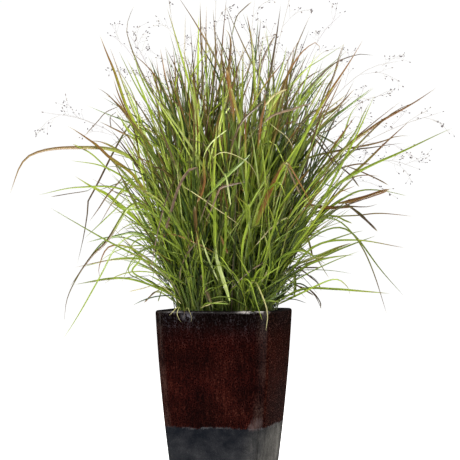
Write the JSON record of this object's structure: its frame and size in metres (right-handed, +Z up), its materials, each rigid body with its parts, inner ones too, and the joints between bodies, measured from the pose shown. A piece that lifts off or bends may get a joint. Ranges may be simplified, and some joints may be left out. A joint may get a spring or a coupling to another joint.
{
  "type": "potted switchgrass",
  "caption": "Dense clump of upright ornamental grass with airy flower heads, growing in a tall, tapered, square glazed planter.",
  "frame": {"origin": "middle of the planter's underside, on the surface that it stands on", "axes": "+Z up, +X and +Y square to the planter's faces; the picture looks along +Y from 13 degrees round towards +X"},
  "size_m": [1.2311, 1.0381, 1.46],
  "materials": {
    "glaze": "gloss",
    "soil": "matte",
    "leaf": "satin",
    "stalk": "matte"
  },
  "bodies": {
    "root": {"planter": "glaze", "potting_soil": "soil", "tiller_01": "leaf", "tiller_02": "leaf", "tiller_03": "leaf", "tiller_04": "leaf", "tiller_05": "leaf", "tiller_06": "leaf", "tiller_07": "leaf", "tiller_08": "leaf", "tiller_09": "leaf", "tiller_10": "leaf", "tiller_11": "leaf", "tiller_12": "leaf", "tiller_13": "leaf", "tiller_14": "leaf", "tiller_15": "leaf", "tiller_16": "leaf", "tiller_17": "leaf", "tiller_18": "leaf", "tiller_19": "leaf", "tiller_20": "leaf", "tiller_21": "leaf", "tiller_22": "leaf", "tiller_23": "leaf", "tiller_24": "leaf", "tiller_25": "leaf", "tiller_26": "leaf", "tiller_27": "leaf", "tiller_28": "leaf", "tiller_29": "leaf", "tiller_30": "leaf", "tiller_31": "leaf", "tiller_32": "leaf", "tiller_33": "leaf", "tiller_34": "leaf", "tiller_35": "leaf", "tiller_36": "leaf", "tiller_37": "leaf", "tiller_38": "leaf", "tiller_39": "leaf", "tiller_40": "leaf", "tiller_41": "leaf", "tiller_42": "leaf", "tiller_43": "leaf", "tiller_44": "leaf", "flower_stalk_01": "stalk", "flower_stalk_02": "stalk", "flower_stalk_03": "stalk", "flower_stalk_04": "stalk", "flower_stalk_05": "stalk", "flower_stalk_06": "stalk", "flower_stalk_07": "stalk", "flower_stalk_08": "stalk", "flower_stalk_09": "stalk", "flower_stalk_10": "stalk", "flower_stalk_11": "stalk", "flower_stalk_12": "stalk", "flower_stalk_13": "stalk", "flower_stalk_14": "stalk"}
  },
  "joints": []
}
